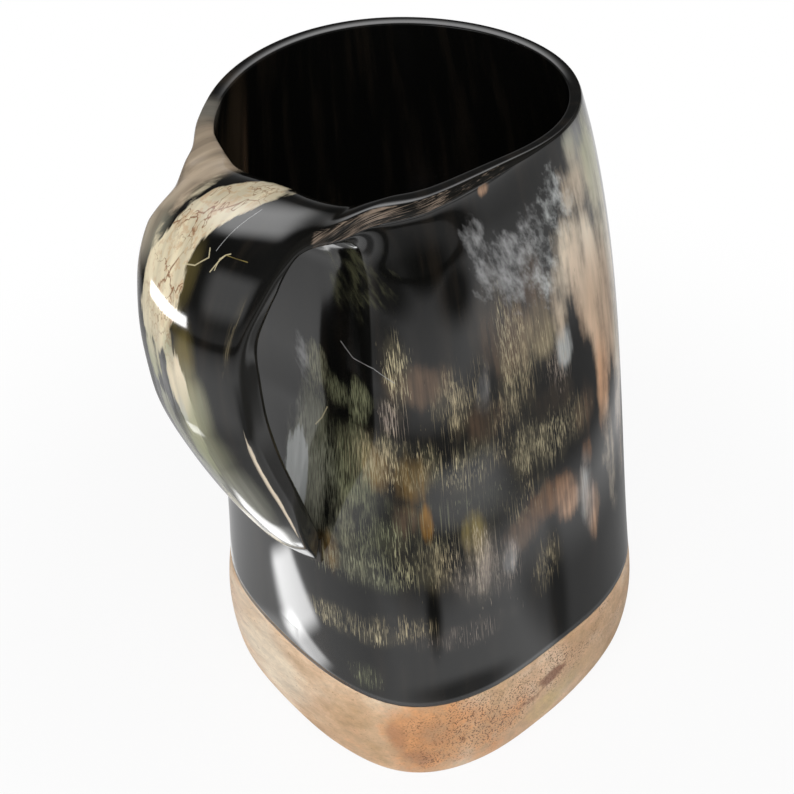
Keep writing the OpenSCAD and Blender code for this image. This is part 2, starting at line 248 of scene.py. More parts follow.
def column(a):
    """One column of the wall: outer side up, the bend, the cut face, the bend back and the inner side down.
    Gives the points and, for each, its height on the unbent sheet and its side: 0 outside, 1 inside"""
    a = np.array(float(a))
    foot_in = inner_at(a, CUP_H)
    edge = math.copysign(ROOT_A, float(turned(a)))
    to_end = np.array([CREST_X, CREST_Y + float(root_v(a)) * STRAP_W / 2]) - foot_in
    full = np.array([CREST_X, CREST_Y + float(root_v(edge)) * STRAP_W / 2]) - inner_at(np.array(edge), CUP_H)
    if in_root(a):
        reach, way = np.linalg.norm(to_end), to_end / np.linalg.norm(to_end)
        tilt, face = 90.0, STRAP_T
    else:
        past = abs(float(turned(a))) - ROOT_A
        radial = np.array([math.cos(math.radians(180 + a)), math.sin(math.radians(180 + a))])
        way = mix(full / np.linalg.norm(full), radial, float(smooth((past - EDGE_ARC / 3) / (EDGE_ARC / 2))))
        way = way / np.linalg.norm(way)
        reach = mix(float(wall_here(a, CUP_H)), np.linalg.norm(full), float(edge_value(a, 1)))
        tilt, face = float(edge_value(a, 2)), WALL_T * float(edge_value(a, 4))
    top = float(rim_z(a))
    end_in = np.array([*(foot_in + way * reach), top])
    t = math.radians(tilt)
    end_out = end_in + face * np.array([*(way * math.cos(t)), -math.sin(t)])
    share = mix(*BEND_SHARES, min(1.0, abs(float(root_v(a)))) ** 2)
    start_in, start_out = top - min(BEND_R, share * reach), end_out[2] - BEND_R
    z_out = mix(HORN_Z, start_out, np.linspace(0, 1, ROW_N))
    z_in = mix(HORN_Z, start_in, np.linspace(0, 1, ROW_N))
    u = np.linspace(0, 1, BEND_N + 1)[1:]
    rows_out = lift3(outer_at(a, z_out), z_out)
    rows_in = lift3(inner_at(a, z_in), z_in)
    corner_out = np.array([*outer_at(a, end_out[2]), end_out[2]])
    corner_in = np.array([*inner_at(a, top), top])
    bend_out = bezier(rows_out[-1], corner_out, end_out, u)
    bend_in = bezier(rows_in[-1], corner_in, end_in, u)
    cut = mix(end_out, end_in, np.linspace(0, 1, CUT_N + 2)[1:-1, None])
    out = np.concatenate([rows_out, bend_out])
    back = np.concatenate([rows_in, bend_in])[::-1]
    points = np.concatenate([out, cut, back])
    length = lambda p: HORN_Z + np.concatenate([[0], np.cumsum(np.linalg.norm(np.diff(p, axis=0), axis=1))])
    up_out, up_in = length(out), length(back[::-1])[::-1]
    up_cut = mix(up_out[-1], up_in[0], np.linspace(0, 1, CUT_N + 2)[1:-1])
    side = np.concatenate([np.zeros(len(out)), np.linspace(0, 1, CUT_N + 2)[1:-1], np.ones(len(back))])
    past = np.concatenate([up_out - up_out[-1], np.zeros(CUT_N), up_in - up_in[0]])
    return points, np.concatenate([up_out, up_cut, up_in]), side, past


OUT_N = ROW_N + BEND_N
END_OUT, END_IN = OUT_N - 1, OUT_N + CUT_N
COLUMN_N = 2 * OUT_N + CUT_N


def tip_section(v):
    """The cut end of the strap, against the wall"""
    heights = np.array([TIP_Z, TIP_Z + TIP_H])
    y = strap_y(TIP_Z) + v * TIP_WIDTH * STRAP_W / 2
    s = up_share(heights)[:, None]
    phi = 180 - np.degrees(np.arcsin((y[None] - LEAN_Y * s) / horn_r(s)))
    x = ring(phi, heights[:, None])[..., 0].min() - GLUE_GAP - TIP_GLUE_T
    low = np.stack([np.full_like(v, x), y, np.full_like(v, heights[0])], -1)
    return low, low + np.array([0, 0, TIP_H])


def strap_section(u, v):
    """The strap's upper and lower face at a share u of its length"""
    p, n = path_at(np.array(u)), path_normal(np.array(u))
    lean = mix(-n, np.array([0.0, 1.0]), p[5])
    lean = mix(np.array([0.0, -1.0]), lean, float(smooth(u / 0.08)))
    down = lean / np.linalg.norm(lean) * STRAP_T * p[3]
    c = CROWN_H * p[4] * (1 - v * v)
    upper = np.stack([p[0] + n[0] * c, strap_y(p[1]) + v * p[2] * STRAP_W / 2, p[1] + n[1] * c], -1)
    return upper, upper + np.array([down[0], 0, down[1]])


def loop_of(upper, lower):
    """A closed loop round a section, from the far edge of its upper face"""
    t = np.linspace(0, 1, CUT_N + 2)[1:-1, None]
    return np.concatenate([upper, mix(upper[-1], lower[-1], t), lower[::-1], mix(lower[0], upper[0], t)])


def relax(points, edges, weight, rounds):
    """Moves each point towards the mean of its neighbours, by its weight"""
    count = np.zeros(len(points))
    np.add.at(count, edges[:, 0], 1)
    np.add.at(count, edges[:, 1], 1)
    busy = weight > 0
    for _ in range(rounds):
        total = np.zeros_like(points)
        np.add.at(total, edges[:, 0], points[edges[:, 1]])
        np.add.at(total, edges[:, 1], points[edges[:, 0]])
        mean = total[busy] / count[busy, None]
        points[busy] += (mean - points[busy]) * weight[busy, None]
    return points


def edges_of(faces):
    pairs = set()
    for f in faces:
        for k in range(len(f)):
            a, b = f[k], f[(k + 1) % len(f)]
            pairs.add((a, b) if a < b else (b, a))
    return np.array(sorted(pairs))


def horn_mesh():
    """The whole horn as one skin: the wall, the rim and the strap that is bent from it"""
    root = ROOT_A * np.linspace(-1, 1, ROOT_N + 1)
    near = ROOT_A + EDGE_ARC * np.arange(1, EDGE_N + 1) / EDGE_N
    start = ROOT_A + EDGE_ARC
    rest = start + (360 - 2 * start) * np.arange(1, REST_N + 1) / REST_N
    far = 360 - start + EDGE_ARC * np.arange(1, EDGE_N) / EDGE_N
    angles = np.concatenate([root, near, rest, far])
    columns = [column(a) for a in angles]
    points = np.concatenate([c[0] for c in columns])
    up = np.concatenate([c[1] for c in columns])
    side = np.concatenate([c[2] for c in columns])
    past = np.concatenate([c[3] for c in columns])
    phi = np.repeat(180 + turned(angles), COLUMN_N)
    cut = np.tile(np.concatenate([np.zeros(END_OUT), np.ones(CUT_N + 2), np.zeros(OUT_N - 1)]), len(angles))
    count = len(angles)
    cut.reshape(count, COLUMN_N)[1:ROOT_N] = 0
    faces = []
    for c in range(count):
        d = (c + 1) % count
        for r in range(COLUMN_N):
            if c < ROOT_N and END_OUT <= r < END_IN:
                continue
            q = (r + 1) % COLUMN_N
            faces.append((c * COLUMN_N + r, d * COLUMN_N + r, d * COLUMN_N + q, c * COLUMN_N + q))
    at = lambda c, r: c * COLUMN_N + r
    loop = ([at(c, END_IN) for c in range(ROOT_N + 1)]
            + [at(ROOT_N, END_IN - k) for k in range(1, CUT_N + 1)]
            + [at(c, END_OUT) for c in range(ROOT_N, -1, -1)]
            + [at(0, END_OUT + k) for k in range(1, CUT_N + 1)])
    v = -np.linspace(-1, 1, ROOT_N + 1)
    tail = tip_section(v)
    first = strap_section(0.0, v)[0][ROOT_N // 2]
    reach, previous = 0.0, first
    up_loop = up[loop]
    m = len(loop)
    loop_side = np.concatenate([np.ones(ROOT_N + 1), np.linspace(1, 0, CUT_N + 2)[1:-1],
                                np.zeros(ROOT_N + 1), np.linspace(0, 1, CUT_N + 2)[1:-1]])
    loop_v = np.concatenate([v, np.full(CUT_N, -1), v[::-1], np.full(CUT_N, 1)])
    loop_cut = np.zeros(m)
    loop_cut[ROOT_N:ROOT_N + CUT_N + 2] = 1
    loop_cut[2 * ROOT_N + CUT_N + 1:] = 1
    loop_cut[0] = 1
    extra = [points]
    more_up, more_side, more_phi, more_cut, along = [up], [side], [phi], [cut], [past / STRAP_LONG]
    base, last = len(points), np.array(loop)
    first_extra = base
    tail_start = 29 / 30
    for j in range(1, STRAP_N + 1):
        u = j / STRAP_N
        upper, lower = strap_section(min(u, tail_start), v)
        if u > tail_start:
            w = (u - tail_start) / (1 - tail_start)
            upper, lower = mix(upper, tail[0], w), mix(lower, tail[1], w)
        middle = upper[ROOT_N // 2]
        reach += float(np.linalg.norm(middle - previous))
        previous = middle
        extra.append(loop_of(upper, lower))
        more_up.append(up_loop + reach)
        more_side.append(loop_side)
        more_phi.append(180 - loop_v * ROOT_A)
        more_cut.append(loop_cut)
        along.append(np.full(m, u))
        this = np.arange(base, base + m)
        for i in range(m):
            k = (i + 1) % m
            faces.append((last[i], this[i], this[k], last[k]))
        base, last = base + m, this
    hub = (tail[0][ROOT_N // 2] + tail[1][ROOT_N // 2]) / 2
    extra.append(hub[None])
    for values, value in ((more_up, up_loop[0] + reach), (more_side, 0.5), (more_phi, 180), (more_cut, 1), (along, 1)):
        values.append(np.array([float(value)]))
    for i in range(m):
        faces.append((last[i], base, last[(i + 1) % m]))
    points = np.concatenate(extra)
    data = {"up": np.concatenate(more_up), "side": np.concatenate(more_side), "phi": np.concatenate(more_phi),
            "cut": np.concatenate(more_cut), "along": np.concatenate(along)}
    data["strap"] = (np.arange(len(points)) >= first_extra).astype(float)
    edges = edges_of(faces)
    near_cut = data["cut"].copy()
    for _ in range(3):
        spread = near_cut.copy()
        np.maximum.at(spread, edges[:, 0], near_cut[edges[:, 1]] * 0.6)
        np.maximum.at(spread, edges[:, 1], near_cut[edges[:, 0]] * 0.6)
        near_cut = spread
    crest = np.clip(1 - abs(points[:, 0] - CREST_X) / 9, 0, 1) * (points[:, 2] > 130)
    points = relax(points, edges, np.clip(crest, 0, 0.8), 40)
    points = relax(points, edges, np.clip(near_cut, 0, 0.7), 5)
    return points, faces, data


def finish_mesh(name, points, faces, attributes=None, flat=False):
    """A mesh object in metres with its attributes, loose points dropped"""
    used = np.zeros(len(points), bool)
    for f in faces:
        used[list(f)] = True
    index = np.cumsum(used) - 1
    mesh = bpy.data.meshes.new(name)
    mesh.from_pydata((points[used] * MM).tolist(), [], [tuple(int(index[k]) for k in f) for f in faces])
    for key, values in (attributes or {}).items():
        values = values[used].astype(np.float32)
        kind = "FLOAT" if values.ndim == 1 else "FLOAT_VECTOR"
        attribute = mesh.attributes.new(key, kind, "POINT")
        attribute.data.foreach_set("value" if values.ndim == 1 else "vector", values.ravel())
    mesh.polygons.foreach_set("use_smooth", np.full(len(mesh.polygons), not flat))
    mesh.update()
    piece = bpy.data.objects.new(name, mesh)
    bpy.context.scene.collection.objects.link(piece)
    return piece


def stack_faces(loops, m, first=0):
    """Faces between stacked loops of m points"""
    faces = []
    for k in range(loops - 1):
        for i in range(m):
            j = (i + 1) % m
            a, b = first + k * m, first + (k + 1) * m
            faces.append((a + i, a + j, b + j, b + i))
    return faces


def capped(loops):
    """Points and faces of a solid of stacked loops, closed by fans"""
    m = len(loops[0])
    points = np.concatenate(loops + [loops[0].mean(0)[None], loops[-1].mean(0)[None]])
    faces = stack_faces(len(loops), m)
    low, high = len(points) - 2, len(points) - 1
    for i in range(m):
        j = (i + 1) % m
        faces.append((low, j, i))
        faces.append((high, (len(loops) - 1) * m + i, (len(loops) - 1) * m + j))
    return points, faces


def foot_ring(phi, z):
    u = z / BAND_H
    k = math.sqrt(1 - (1 - u / FOOT_ROUND) ** 2) if u < FOOT_ROUND else 1.0
    share = mix(FOOT_W / WIDTHS[0], 1, k) + FOOT_SWELL * math.sin(math.pi * u) - flats(FOOT_FLATS, phi) * (1 - u)
    middle = np.zeros(2)
    return lift3(middle + share[:, None] * ring(phi, BAND_H), np.full(len(phi), z))


def foot_mesh():
    phi = np.linspace(0, 360, 400, endpoint=False)
    t = np.linspace(0, 1, 22)
    heights = list(BAND_H * FOOT_ROUND * (1 - np.cos(np.pi / 2 * t)))
    heights += list(np.linspace(heights[-1], BAND_H - 0.25, 5)[1:])
    loops = [foot_ring(phi, float(z)) for z in heights]
    edge = foot_ring(phi, BAND_H)
    middle = edge[:, :2].mean(0)
    inward = (middle - edge[:, :2]) / np.linalg.norm(middle - edge[:, :2], axis=1)[:, None]
    loops.append(lift3(edge[:, :2] + inward * 0.08, np.full(400, BAND_H - 0.08)))
    loops.append(lift3(edge[:, :2] + inward * 0.3, np.full(400, BAND_H)))
    bore = lambda z: lift3(ring(phi, z, WALL_T + PLUG_GAP), np.full(400, z))
    loops += [bore(BAND_H), bore(PLUG_Z)]
    return capped(loops)


def resin_mesh():
    phi = np.linspace(0, 360, 240, endpoint=False)
    bore = lambda z, inset, rise: lift3(ring(phi, z, WALL_T + inset), np.full(240, z + rise))
    loops = [bore(PLUG_Z, RESIN_GAP, 0)]
    for u in np.linspace(0, 1, 9):
        loops.append(bore(RESIN_Z, RESIN_GAP + MENISCUS_W * u, MENISCUS_W * (1 - u) ** 2))
    return capped(loops)


def raw_place(data):
    """Where each point of the horn lay before the strap was bent, in metres"""
    t = np.radians(data["phi"])
    return np.stack([RAW_R * np.cos(t), RAW_R * np.sin(t), data["up"]], -1) * MM


# materials

class Nodes:
    """A small helper that makes and links shader nodes"""

    def __init__(self, name):
        self.material = bpy.data.materials.new(name)
        self.material.use_nodes = True
        self.tree = self.material.node_tree
        self.tree.nodes.clear()

    def add(self, kind, inputs=None, **settings):
        node = self.tree.nodes.new(kind)
        for key, value in settings.items():
            setattr(node, key, value)
        for key, value in (inputs or {}).items():
            self.put(node.inputs[key], value)
        return node

    def put(self, socket, value):
        if isinstance(value, bpy.types.NodeSocket):
            self.tree.links.new(value, socket)
        elif isinstance(value, (tuple, list)) and len(value) == 3 and len(socket.default_value) == 4:
            socket.default_value = (*value, 1)
        else:
            socket.default_value = value

    def math(self, operation, a, b=0.0, clamp=False):
        return self.add("ShaderNodeMath", {0: a, 1: b}, operation=operation, use_clamp=clamp).outputs[0]

    def attribute(self, name, vector=False):
        return self.add("ShaderNodeAttribute", attribute_name=name).outputs["Vector" if vector else "Fac"]

    def noise(self, vector, scale, detail=3.0, roughness=0.55, stretch=(1, 1, 1), offset=(0, 0, 0)):
        place = self.add("ShaderNodeMapping", {"Vector": vector, "Scale": stretch, "Location": offset}).outputs[0]
        return self.add("ShaderNodeTexNoise", {"Vector": place, "Scale": scale, "Detail": detail,
                                               "Roughness": roughness}).outputs["Fac"]

    def step(self, value, low, high):
        return self.add("ShaderNodeMapRange", {"Value": value, "From Min": low, "From Max": high},
                        interpolation_type="SMOOTHSTEP").outputs[0]

    def spread(self, value, low, high, least, most):
        """A smooth step that runs from least to most"""
        return self.add("ShaderNodeMapRange", {"Value": value, "From Min": low, "From Max": high, "To Min": least,
                                               "To Max": most}, interpolation_type="SMOOTHSTEP").outputs[0]

    def ragged(self, mask, noises, low, high):
        """A mask whose edge is torn by noises, each with its weight"""
        torn = mask
        for noise, weight in noises:
            torn = self.math("ADD", torn, self.math("MULTIPLY", self.math("SUBTRACT", noise, 0.5), weight))
        return self.math("MULTIPLY", self.step(torn, low, high), self.step(mask, 0.0, 0.2))

    def cracks(self, place, noise):
        """Thin wandering lines"""
        bent = self.add("ShaderNodeVectorMath", {0: self.math("MULTIPLY", noise, 0.02), 1: place}, operation="ADD").outputs[0]
        edge = self.add("ShaderNodeTexVoronoi", {"Vector": bent, "Scale": 125.0},
                        feature="DISTANCE_TO_EDGE").outputs["Distance"]
        return self.math("MULTIPLY", self.spread(edge, 0.0, 0.05, 1.0, 0.0), self.step(noise, 0.38, 0.5))

    def scratch(self, place, a, b, width):
        """A thin straight line between two places"""
        way = b - a
        past = self.add("ShaderNodeVectorMath", {0: place, 1: tuple(a)}, operation="SUBTRACT").outputs[0]
        along = self.add("ShaderNodeVectorMath", {0: past, 1: tuple(way / (way @ way))}, operation="DOT_PRODUCT")
        share = self.math("ADD", along.outputs["Value"], 0.0, clamp=True)
        near = self.add("ShaderNodeVectorMath", {0: tuple(way), "Scale": share}, operation="SCALE").outputs[0]
        away = self.add("ShaderNodeVectorMath", {0: past, 1: near}, operation="DISTANCE").outputs["Value"]
        return self.spread(away, width * 0.3, width, 1.0, 0.0)

    def tinted(self, colour, value):
        grey = self.add("ShaderNodeCombineColor", {0: value, 1: value, 2: value}).outputs[0]
        return self.blend(1.0, colour, grey, "MULTIPLY")

    def blend(self, fac, a, b, mode="MIX"):
        node = self.add("ShaderNodeMix", data_type="RGBA", blend_type=mode)
        self.put(node.inputs[0], fac)
        self.put(node.inputs[6], a)
        self.put(node.inputs[7], b)
        return node.outputs[2]

    def ramp(self, value, *stops):
        node = self.add("ShaderNodeValToRGB", {"Fac": value})
        elements = node.color_ramp.elements
        while len(elements) < len(stops):
            elements.new(0.5)
        for element, (at, colour) in zip(elements, stops):
            element.position = at
            element.color = (*colour, 1)
        return node.outputs[0]

    def bump(self, height, strength, distance):
        return self.add("ShaderNodeBump", {"Height": height, "Strength": strength,
                                           "Distance": distance}).outputs[0]

    def finish(self, shader):
        self.put(self.add("ShaderNodeOutputMaterial").inputs["Surface"], shader)
        return self.material


def plain_gloss(name, colour, roughness):
    n = Nodes(name)
    place = n.add("ShaderNodeTexCoord").outputs["Object"]
    cloud = n.noise(place, 60.0, 4.0)
    shade = n.blend(cloud, tuple(c * 0.7 for c in colour), tuple(min(1, c * 1.35) for c in colour))
    shader = n.add("ShaderNodeBsdfPrincipled", {"Base Color": shade, "Roughness": roughness})
    return n.finish(shader.outputs[0])


def tone(text):
    """A linear colour from its hexadecimal name"""
    values = [int(text[k:k + 2], 16) / 255 for k in (1, 3, 5)]
    return tuple(v / 12.92 if v <= 0.04045 else ((v + 0.055) / 1.055) ** 2.4 for v in values)


# The horn's own marks, with two painted highlights among them, each marked below. On the body: angle, height, half
# angle and half height, then how it is drawn, its colour and its strength. Soft marks are clouds in the horn, dashes
# are short fibres, grain is dense fibres, and torn marks are pale zones with ragged edges
COLOURS = {"tan": "#c0b08c", "straw": "#d2c5a0", "brown": "#6c5643", "rust": "#8a6240", "amber": "#b07c20",
           "olive": "#9a9c7a", "moss": "#62624a", "ash": "#a6a696", "smoke": "#a8a8a8", "cream": "#ecdcc4",
           "peach": "#dfb08a", "pink": "#b9a99b", "bone": "#efe2c2", "lip": "#cdb9a0", "gold": "#94844c",
           "sage": "#b3b192", "slate": "#484846", "ochre": "#8a6a34", "frost": "#cdd0ce", "fawn": "#8c6244", "dove": "#8f8a80",  "umber": "#40362a"}
BODY_MARKS = (
    (183, 84, 9, 18, "grain", "ash", 1.3), (197, 88, 12, 12, "grain", "olive", 0.8),
    (216, 92, 14, 9, "grain", "moss", 0.6), (231, 89, 10, 6, "grain", "moss", 0.5),
    (187, 112, 4, 6, "grain", "sage", 1), (194, 108, 4, 5, "grain", "olive", 0.9),
    (202, 107, 4.5, 6, "grain", "olive", 1), (185, 100, 5, 9, "grain", "moss", 0.9),
    (213, 117, 4, 10, "dash", "straw", 1), (211, 105, 4.5, 6, "dash", "pink", 0.9),
    (227, 107, 6, 9, "dash", "tan", 1), (236, 109, 5, 7, "dash", "tan", 0.7),
    (249, 112, 5, 16, "dash", "straw", 0.9), (256, 108, 5, 16, "dash", "tan", 0.9),
    (263, 108, 6, 10, "dash", "tan", 0.6), (270, 100, 7, 8, "dash", "pink", 0.7),
    (246, 98, 10, 8, "dash", "tan", 0.75), (210, 92, 17, 9, "dash", "tan", 0.95),
    (230, 89, 12, 8, "dash", "straw", 0.75), (243, 88, 6, 5, "dash", "tan", 0.7),
    (252, 84, 8, 8, "dash", "straw", 1), (264, 82, 9, 8, "dash", "straw", 0.95),
    (276, 84, 6, 8, "dash", "tan", 0.6), (222, 75, 24, 9, "dash", "olive", 0.45),
    (251, 70, 12, 6, "dash", "tan", 0.65), (204, 71, 12, 8, "dash", "olive", 0.8),
    (218, 65, 12, 9, "dash", "tan", 0.85), (192, 62, 14, 5.5, "dash", "sage", 1),
    (206, 62, 12, 5.5, "dash", "olive", 0.95), (193, 44, 15, 4.2, "dash", "straw", 1),
    (208, 46, 10, 4, "dash", "tan", 1), (226, 42, 16, 3.5, "dash", "pink", 0.65),
    (231, 62, 8, 12, "dash", "cream", 0.8), (240, 56, 8, 8, "dash", "pink", 0.8),
    (257, 49, 7, 8, "dash", "tan", 0.95), (197, 30, 5, 4, "dash", "olive", 0.8),
    (205, 90, 5, 7, "soft", "ochre", 0.9), (214, 89, 6, 9, "soft", "ochre", 0.9),
    (219, 113, 9, 6, "soft", "brown", 0.9), (252, 114, 15, 10, "soft", "brown", 1.1),
    (264, 111, 8, 8, "soft", "tan", 0.8), (274, 103, 4, 6, "soft", "frost", 1.2),
    (238, 107, 3.5, 6, "soft", "smoke", 0.8), (245, 122, 13, 12, "soft", "umber", 0.8),
    (265, 122, 8, 12, "soft", "brown", 0.9), (238, 98, 10, 7, "soft", "brown", 0.6),
    (261, 66, 14, 6, "soft", "rust", 1), (248, 62, 10, 6, "soft", "brown", 0.9),
    (269, 62, 7, 7, "soft", "peach", 0.9), (277, 60, 4, 11, "soft", "frost", 1),
    (217, 76, 2.2, 7, "soft", "amber", 1.05), (280, 54, 4, 9, "soft", "peach", 1), (212, 77, 4, 6, "soft", "brown", 0.8),
    (230, 69, 5, 8, "soft", "gold", 1), (231, 60, 8, 9, "soft", "pink", 0.6),
    (242, 57, 3.5, 5, "soft", "smoke", 1), (279, 71, 3, 5, "soft", "rust", 1),
    (280, 84, 5, 9, "soft", "brown", 0.8), (268, 92, 12, 6, "soft", "umber", 0.8),
    (251, 151, 3, 2, "soft", "peach", 1),
    
    # Painted highlight: the torn frost mark at 178.5 degrees beside the strap stands for a white highlight, drawn as a
    # pale zone in the horn
    (178.5, 82, 4.8, 11, "torn", "frost", 1.3), (183.5, 83, 4.5, 13, "haze", "ash", 0.5), (191, 74, 8, 9, "grain", "sage", 0.6),
    (296, 146, 7, 9, "haze", "smoke", 0.55), (302, 138, 8, 18, "veil", "sage", 1), (290, 148, 5, 6, "veil", "ash", 0.8), (184, 96, 5, 8, "haze", "olive", 0.3),
    (134, 150, 22, 14, "haze", "dove", 0.7), (189, 64, 4, 8, "soft", "ochre", 0.8),
    # Painted highlight: the smoke wisp at 182 degrees, 112 mm stands for a soft grey glint
    (182, 112, 3, 7, "wisp", "smoke", 1),
    (288, 117, 9, 21, "veil", "cream", 1.2), (280, 124, 8, 14, "veil", "cream", 0.9),
    (294, 102, 8, 20, "veil", "peach", 1.2), (284, 113, 6, 16, "veil", "peach", 0.9),
    (289, 139, 8, 10, "veil", "lip", 0.8), (301, 104, 9, 30, "veil", "cream", 1.1),
    (318, 112, 11, 22, "veil", "cream", 0.8), (290, 84, 4, 14, "veil", "peach", 0.8),
    (292, 62, 5, 16, "veil", "cream", 0.75), (300, 66, 6, 18, "veil", "pink", 0.7),
    (274, 119, 5, 14, "veil", "lip", 0.6), (266, 133, 8, 9, "wisp", "smoke", 1.1),
    (280, 138, 8, 10, "wisp", "frost", 1.1), (243, 142, 6, 5, "wisp", "smoke", 1),
    (247, 132, 8, 8, "wisp", "smoke", 1), (257, 130, 10, 11, "wisp", "smoke", 1),
    (270, 126, 8, 10, "wisp", "frost", 1), (204, 138, 12, 9, "wisp", "moss", 0.7),
    (342, 70, 12, 16, "grain", "moss", 0.6), (20, 96, 22, 14, "dash", "tan", 0.8),
    (55, 64, 20, 9, "dash", "straw", 0.8), (75, 112, 24, 10, "dash", "tan", 0.7),
    (112, 84, 16, 14, "grain", "olive", 0.7), (140, 60, 12, 9, "dash", "tan", 0.7),
    (340, 40, 20, 7, "dash", "tan", 0.7), (60, 130, 12, 9, "wisp", "smoke", 0.7),
    (10, 128, 10, 8, "soft", "brown", 0.8), (90, 44, 14, 6, "soft", "brown", 0.7),
    (332, 128, 8, 9, "wisp", "smoke", 0.8), (150, 118, 9, 16, "soft", "brown", 0.6))
# On the strap: share of its length, place across it, half sizes, and the same again
STRAP_MARKS = (
    (0.1, 0.2, 0.3, 0.6, "crack", "fawn", 1),
    (-0.08, 0.85, 0.12, 0.3, "haze", "lip", 1.1), (0.03, 0.92, 0.09, 0.3, "haze", "lip", 1),
    (0.13, 1.0, 0.12, 0.24, "haze", "lip", 0.9), (0.25, 1.02, 0.12, 0.16, "haze", "smoke", 0.6),
    (0.21, 0.0, 0.08, 0.13, "haze", "gold", 0.27), (0.28, 0.08, 0.07, 0.13, "haze", "gold", 0.27),
    (-0.06, 1.25, 0.12, 0.3, "haze", "lip", 0.9), (0.62, 0.0, 0.1, 0.5, "haze", "sage", 0.6),
    (0.9, -0.2, 0.08, 0.6, "haze", "ash", 0.5), (0.05, 0.64, 0.09, 0.09, "wisp", "lip", 1.3),
    (0.0, 0.54, 0.06, 0.09, "wisp", "bone", 1.3), (0.15, 0.7, 0.06, 0.08, "wisp", "bone", 1.2), (0.13, 0.85, 0.1, 0.25, "haze", "ash", 0.6),
    (0.42, 0.62, 0.07, 0.2, "torn", "sage", 0.85), (0.46, 0.12, 0.07, 0.2, "torn", "bone", 1.1),
    (0.51, -0.12, 0.1, 0.3, "haze", "sage", 0.75), (0.6, -0.15, 0.1, 0.28, "haze", "olive", 0.55),
    (0.4, -0.1, 0.09, 0.2, "haze", "gold", 0.5), (0.5, 0.5, 0.14, 0.5, "soft", "smoke", 0.6),
    (0.45, 0.1, 0.07, 0.16, "torn", "cream", 0.95), (0.53, 0.06, 0.08, 0.17, "torn", "sage", 1),
    (0.52, 0.14, 0.03, 0.07, "torn", "frost", 1.2), (0.38, 0.2, 0.06, 0.12, "torn", "sage", 0.9),
    (0.64, 0.1, 0.08, 0.2, "torn", "olive", 0.8), (0.6, 0.55, 0.12, 0.16, "torn", "ash", 0.8),
    (0.75, 0.3, 0.09, 0.25, "torn", "ash", 0.85), (0.75, -0.2, 0.12, 0.5, "haze", "ash", 0.6),
    (0.85, 0.5, 0.08, 0.45, "torn", "bone", 0.95), (0.93, 0.25, 0.06, 0.6, "torn", "bone", 0.9),
    (0.72, -0.92, 0.19, 0.035, "torn", "cream", 1.2), (0.3, -0.8, 0.1, 0.05, "dash", "tan", 0.6),
    (-0.45, 0.7, 0.3, 0.12, "soft", "brown", 0.5))
# On the inner side, as on the body
INSIDE_MARKS = (
    (106, 132, 8, 26, "haze", "umber", 1), (99, 125, 1.6, 18, "haze", "brown", 0.8), (118, 128, 4, 20, "haze", "umber", 0.6),
    (141, 157, 9, 9, "haze", "lip", 0.7), (128, 157, 9, 8, "haze", "dove", 0.7),
    (60, 90, 10, 16, "soft", "umber", 0.5))
# Thin scratches: side, colour, width in millimetres and places, on the strap or the body as above
SCRATCHES = (
    ("strap", "straw", 0.22, ((0.192, 0.12), (0.19, -0.06), (0.16, -0.16), (0.141, -0.14))),
    ("strap", "straw", 0.22, ((0.187, -0.29), (0.163, -0.31), (0.143, -0.35), (0.134, -0.41))),
    ("strap", "straw", 0.18, ((0.182, -0.34), (0.155, -0.34), (0.138, -0.37))),
    ("strap", "gold", 0.16, ((0.143, -0.35), (0.134, -0.62))),
    ("strap", "smoke", 0.13, ((0.141, -0.24), (0.01, -0.34))),
    ("body", "straw", 0.22, ((185, 95), (187, 98), (189.5, 101))),
    ("body", "smoke", 0.16, ((196.5, 120.5), (201, 118), (206.5, 116.5), (212.5, 114))))
# The cream band along the strap: share of its length, the band's two edges across it and its strength
CREAM_BAND = np.array([
    (-0.12, -0.3, 0.05, 0), (-0.08, -0.4, 0.1, 1), (-0.04, -0.34, 0.26, 1.3), (0, -0.24, 0.4, 1.4),
    (0.039, -0.16, 0.46, 1.4), (0.09, -0.05, 0.49, 1.4), (0.131, 0.03, 0.53, 1.4), (0.185, 0.08, 0.68, 1.4),
    (0.231, 0.06, 0.76, 1.3), (0.309, 0.1, 0.86, 1.2), (0.36, 0.25, 0.8, 1), (0.41, 0.4, 0.7, 0.5), (0.45, 0.5, 0.6, 0)])
# Painted dark reflections on the body: spots where the lacquer is made to mirror less, so that dark shapes show in its
# reflection
DARK_REFLECTION_SPOTS = (
    (233, 133, 7, 9, 1), (225, 140, 9, 6, 1), (213, 136, 7, 8, 0.9), (210, 122, 6, 15, 0.75), (209, 104, 6, 12, 0.7),
    (217, 50, 2.4, 12, 1), (261, 38, 5, 24, 0.8), (225, 27, 16, 4, 0.8), (205, 96, 10, 14, 0.4), (228, 98, 16, 8, 0.5))
# The same painted dark reflections on the strap, by share of its length and place across it
STRAP_DARK_REFLECTIONS = ((0.75, -0.3, 0.22, 0.9, 0.85), (0.13, -0.2, 0.035, 0.6, 0.5), (-0.05, -0.97, 0.09, 0.25, 0.85))


def spot(across, up, row):
    d = np.hypot(turned(across - row[0]) / row[2], (up - row[1]) / row[3])
    return row[-1] * smooth((1.35 - d) / 1.0)


def band_share(place, across, table, low_edge, high_edge):
    """How much of a band lies at each point; its two edges fade over their own widths"""
    low, high, strength = (np.interp(place, table[:, 0], table[:, k]) for k in (1, 2, 3))
    return strength * smooth(0.5 + (across - low) / low_edge) * smooth(0.5 + (high - across) / high_edge)


HORN_WAYS = ("soft", "dash", "grain", "torn", "wisp", "veil", "haze", "crack")


